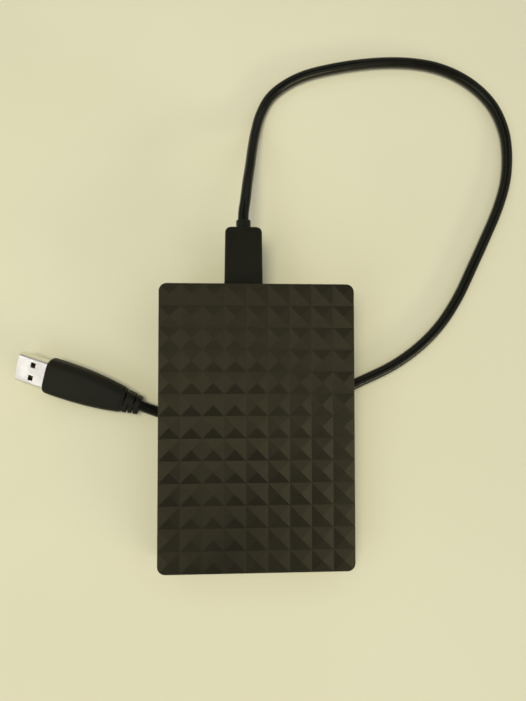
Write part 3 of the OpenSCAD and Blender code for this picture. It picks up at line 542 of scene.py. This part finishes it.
def nodeSpan(name, turn):  # lowest and highest corner of a node, seen in a turned frame
    back = turn.transposed()
    spots = [back @ v.co for v in nodes[name].data.vertices]
    return (Vector([min(p[i] for p in spots) for i in range(3)]),
            Vector([max(p[i] for p in spots) for i in range(3)]))


def roundedRing(halfWide, halfThick, corner, perCorner=7):
    corner = min(corner, halfWide, halfThick)
    ring = []
    for wide, thick, start in ((1, 1, 0), (-1, 1, 90), (-1, -1, 180), (1, -1, 270)):
        for step in range(perCorner + 1):
            angle = math.radians(start + 90 * step / perCorner)
            ring.append((wide * (halfWide - corner) + corner * math.cos(angle),
                         thick * (halfThick - corner) + corner * math.sin(angle)))
    return ring


def loft(mesh, sections):  # closed body through rings at (along, ring of (across, up))
    rings = [[mesh.verts.new((along, across, up)) for across, up in ring] for along, ring in sections]
    for first, second in zip(rings, rings[1:]):
        for k in range(len(first)):
            mesh.faces.new((first[k - 1], first[k], second[k], second[k - 1]))
    mesh.faces.new(rings[0])
    mesh.faces.new(reversed(rings[-1]))


def inset(depth, radius):  # how far a round of that radius has drawn in, at a depth from its end
    return radius - math.sqrt(max(0, radius ** 2 - (radius - min(depth, radius)) ** 2))


def roundDepths(radius):  # from the end inward, evenly spaced round a quarter circle
    steps = skin["roundSteps"]
    return [radius * (1 - math.cos(math.radians(90 * k / steps))) for k in range(steps + 1)]


def finishMoulding(name, mesh, turn, origin):
    bmesh.ops.recalc_face_normals(mesh, faces=mesh.faces)
    bmesh.ops.scale(mesh, vec=(mm, mm, mm), verts=mesh.verts)
    data = bpy.data.meshes.new(name)
    mesh.to_mesh(data)
    mesh.free()
    made = bpy.data.objects.new(name, data)
    bpy.context.scene.collection.objects.link(made)
    remesh = made.modifiers.new("skin", "REMESH")
    remesh.mode, remesh.voxel_size = "VOXEL", skin["voxel"] * mm
    soften = made.modifiers.new("soften", "SMOOTH")
    soften.factor, soften.iterations = skin["softness"], skin["smoothing"]
    depsgraph = bpy.context.evaluated_depsgraph_get()
    made.data = bpy.data.meshes.new_from_object(made.evaluated_get(depsgraph))
    made.modifiers.clear()
    bpy.data.meshes.remove(data)
    made.data.name = name
    made.data.transform(turn.to_4x4())
    made.data.transform(Matrix.Translation(turn @ origin))
    made.data.polygons.foreach_set("use_smooth", [True] * len(made.data.polygons))
    return made


# Boot of the plug in the port; along is away from the case, across is to the left, up is the case's up
portBoot = {
    "planRound": 2.4, "rim": 1.1, "frontRim": 0.5, "taper": 0.3,
    "collarRadius": 3.1, "collarRound": 0.35, "collarLength": 3.5, "collarSink": 1.0,
}


def makePortBoot():
    look = portBoot
    turn = caseTurn @ Euler((0, 0, math.radians(90))).to_matrix()
    low, high = nodeSpan("microb_boot", turn)
    collarEnd = (high.x - low.x) / mm
    halfWide, halfThick = (high.y - low.y) / 2 / mm, (high.z - low.z) / 2 / mm
    bodyEnd = collarEnd - look["collarLength"]
    sections = []
    for depth in roundDepths(look["frontRim"]):
        back = inset(depth, look["frontRim"])
        sections.append((depth, roundedRing(halfWide - back, halfThick - back, look["rim"])))
    for depth in reversed(roundDepths(look["planRound"])):
        side, face = look["taper"] + inset(depth, look["planRound"]), inset(depth, look["rim"])
        sections.append((bodyEnd - depth, roundedRing(halfWide - side, halfThick - face, look["rim"])))
    mesh = bmesh.new()
    loft(mesh, sections)
    collar = [(bodyEnd - look["collarSink"], look["collarRadius"])]
    for k in range(skin["roundSteps"] + 1):
        angle = math.radians(90 * k / skin["roundSteps"])
        collar.append((collarEnd - look["collarRound"] * (1 - math.sin(angle)),
                       look["collarRadius"] - look["collarRound"] * (1 - math.cos(angle))))
    loft(mesh, [(along, roundedRing(radius, radius, radius)) for along, radius in collar])
    middle = Vector((low.x, (low.y + high.y) / 2, (low.z + high.z) / 2))
    return finishMoulding("portPlugBoot", mesh, turn, middle)


# Boot and slotted strain relief of the free plug; along is toward its metal end
plugBoot = {
    "roll": 24,  # degrees, the plug lies on one edge
    "length": 34.4, "widestFromFront": 8.0,
    "frontHalf": 8.1, "frontDraw": 0.3, "backHalf": 5.6, "bulge": 2.2,
    "frontThick": 3.8, "backThick": 3.1,
    "corner": 2.9, "planRound": 2.0, "planRoundFace": 1.2, "backRound": 1.3,
    "stations": 14,
}
plugRelief = {
    "length": 7.1, "leadHalf": 3.8, "bootHalf": 5.05, "leadThick": 2.85, "bootThick": 3.0, "corner": 1.9,
    "coreWall": 0.4, "slot": 0.6, "overlap": 0.25, "sink": 1.0,
    "bridges": [(0.15, 1.0, 4.0), (2.35, -5.05, 0.0), (4.5, -1.0, 0.0)],  # slot's place; bridged from, to
}


def makePlugBoot():
    look, neck = plugBoot, plugRelief
    axis = Vector(mountNamed["usb_a_plug"]["axis"])
    heading, rise = math.atan2(axis.y, axis.x), math.asin(axis.z)
    turn = Euler((-math.radians(look["roll"]), -rise, heading)).to_matrix()
    low, high = nodeSpan("usb_a_boot", turn)
    end = neck["length"] + look["length"]
    widest = end - look["widestFromFront"]

    def halves(along):
        if along > widest:
            wide = look["frontHalf"] - look["frontDraw"] * ((along - widest) / look["widestFromFront"]) ** 2
        else:
            share = (widest - along) / (widest - neck["length"])
            wide = look["frontHalf"] - (look["frontHalf"] - look["backHalf"]) * share ** look["bulge"]
        thickShare = (along - neck["length"]) / look["length"]
        return wide, look["backThick"] + (look["frontThick"] - look["backThick"]) * thickShare

    def section(along, side, face):
        wide, thick = halves(along)
        return (along, roundedRing(wide - side, thick - face, look["corner"]))

    sections = []
    for depth in roundDepths(look["backRound"]):
        drawn = inset(depth, look["backRound"])
        sections.append(section(neck["length"] + depth, drawn, drawn))
    first, last = neck["length"] + look["backRound"], end - look["planRound"]
    for k in range(1, look["stations"]):
        sections.append(section(first + (last - first) * k / look["stations"], 0, 0))
    for depth in reversed(roundDepths(look["planRound"])):
        side, face = inset(depth, look["planRound"]), inset(depth, look["planRoundFace"])
        sections.append(section(end - depth, side, face))
    mesh = bmesh.new()
    loft(mesh, sections)

    def neckRing(along, fromSide=-math.inf, toSide=math.inf):
        share = along / neck["length"]
        wide = neck["leadHalf"] + (neck["bootHalf"] - neck["leadHalf"]) * share
        thick = neck["leadThick"] + (neck["bootThick"] - neck["leadThick"]) * share
        ring = roundedRing(wide, thick, neck["corner"])
        return (along, [(min(max(across, fromSide), toSide), up) for across, up in ring])

    core = lead["diameter"] / 2 + neck["coreWall"]
    loft(mesh, [(along, roundedRing(core, core, core)) for along in (0, neck["length"] + neck["sink"])])
    right = neck["length"] + neck["sink"]
    for back, fromSide, toSide in neck["bridges"] + [(neck["length"], 0, 0)]:
        left = neck["length"] - back
        loft(mesh, [neckRing(left), neckRing(right)])
        if fromSide < toSide:
            reach = (left - neck["slot"] - neck["overlap"], left + neck["overlap"])
            loft(mesh, [neckRing(along, fromSide, toSide) for along in reach])
        right = left - neck["slot"]
    middle = Vector((low.x, (low.y + high.y) / 2, (low.z + high.z) / 2))
    return finishMoulding("freePlugBoot", mesh, turn, middle)


portPlugBoot = makePortBoot()
freePlugBoot = makePlugBoot()
print("boots moulded:", len(portPlugBoot.data.polygons), len(freePlugBoot.data.polygons), "faces")

for piece, finish in ((leadPiece, leadBlack), (portPlugBoot, bootBlack), (freePlugBoot, bootBlack)):
    piece.data.materials.clear()
    piece.data.materials.append(finish)

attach(leadPiece, "case")
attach(portPlugBoot, "case")
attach(freePlugBoot, "case")
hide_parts("cable")
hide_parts("microb_boot")
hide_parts("usb_a_boot")

# Pale table top; a soft sky with dimmer and brighter patches overhead, a lamp above, and a low window
studio = {
    "floorSize": 3.0,
    "floorColour": (0.63, 0.618, 0.49), "floorPatch": (0.659, 0.647, 0.519),
    "floorPatchScale": 4.0, "floorRoughness": (0.6, 0.7), "floorSheen": 0.2,
    "skyTint": (0.97, 0.965, 1.0), "bright": 0.8, "horizon": 0.3,
    "brightening": (0.2, 0.8), "leastUpward": 0.05, "patchEdge": (0.7, 1.3),
    "skyPatches": [  # middle and reach as tangents from straight up, and the share of light there
        ((-0.04, -0.7), (0.48, 0.52), 0.02),
        ((-0.03, -0.24), (0.23, 0.17), 0.35),
        ((0.4, 0.2), (0.36, 0.34), 0.02),
        ((-0.3, 0.3), (0.34, 0.34), 0.1),
        ((0.0, 0.64), (0.45, 0.28), 0.3),
        ((0.3, -0.18), (0.2, 0.22), 1.7),
        ((0.0, 0.04), (0.18, 0.12), 1.6),
        ((-1.0, -1.0), (0.6, 0.6), 2.7),
    ],
    "lampTint": (1.0, 0.94, 0.66), "lampPlace": (-0.14, 0.06, 0.9), "lampSize": (0.4, 0.4), "lampPower": 5.6,
    "windowTurn": -38, "windowHeight": 17, "windowAway": 1.5,  # degrees, degrees, m
    "windowSize": (0.9, 0.2), "windowPower": 7.0,
}


def makeFloor():
    half = studio["floorSize"] / 2
    data = bpy.data.meshes.new("tableTop")
    corners = [(-half, -half, 0), (half, -half, 0), (half, half, 0), (-half, half, 0)]
    data.from_pydata(corners, [], [(0, 1, 2, 3)])
    made = bpy.data.objects.new("tableTop", data)
    bpy.context.scene.collection.objects.link(made)
    finish, tree, sockets = startMaterial("tablePaint", **{"Specular IOR Level": studio["floorSheen"]})
    patches = useGroup(tree, "smudge", {"Scale": studio["floorPatchScale"]})
    colour = blend(tree, patches["Mask"], shade(studio["floorColour"]), shade(studio["floorPatch"]))
    join(tree, colour, sockets["Base Color"])
    join(tree, ramp(tree, patches["Mask"], 0, 1, *studio["floorRoughness"]), sockets["Roughness"])
    data.materials.append(finish)


def addLamp(name, place, size, power):
    lamp = bpy.data.lights.new(name, "AREA")
    lamp.shape, lamp.size, lamp.size_y = "RECTANGLE", *size
    lamp.energy, lamp.color = power, studio["lampTint"]
    made = bpy.data.objects.new(name, lamp)
    bpy.context.scene.collection.objects.link(made)
    made.location = place
    made.rotation_euler = (-Vector(place)).to_track_quat("-Z", "Y").to_euler()
    return made


def makeLight():
    world = bpy.data.worlds.new("softRoom")
    bpy.context.scene.world = world
    world.use_nodes = True
    tree = world.node_tree
    tree.nodes.clear()
    way = put(tree, "ShaderNodeTexCoord").outputs["Generated"]
    direction = put(tree, "ShaderNodeSeparateXYZ", {0: way}).outputs
    upward = calc(tree, "MAXIMUM", direction[2], studio["leastUpward"])
    low = studio["bright"] * studio["horizon"]
    level = ramp(tree, direction[2], *studio["brightening"], low, studio["bright"])
    for middle, reach, share in studio["skyPatches"]:
        offsets = []
        for i in (0, 1):
            tangent = calc(tree, "SUBTRACT", calc(tree, "DIVIDE", direction[i], upward), middle[i])
            offsets.append(calc(tree, "POWER", calc(tree, "DIVIDE", tangent, reach[i]), 2.0))
        away = calc(tree, "SQRT", calc(tree, "ADD", *offsets))
        level = calc(tree, "MULTIPLY", ramp(tree, away, *studio["patchEdge"], share, 1.0), level)
    light = put(tree, "ShaderNodeBackground", {"Color": shade(studio["skyTint"]), "Strength": level})
    put(tree, "ShaderNodeOutputWorld", {"Surface": light.outputs[0]})
    lamp = addLamp("softLamp", studio["lampPlace"], studio["lampSize"], studio["lampPower"])
    lamp.visible_glossy = False  # no patch of it on the lid
    turn, height = math.radians(studio["windowTurn"]), math.radians(studio["windowHeight"])
    toward = Vector((math.cos(height) * math.cos(turn), math.cos(height) * math.sin(turn), math.sin(height)))
    addLamp("lowWindow", toward * studio["windowAway"], studio["windowSize"], studio["windowPower"])


makeFloor()
makeLight()
bpy.context.scene.view_settings.view_transform = "Standard"
print("stage lit")
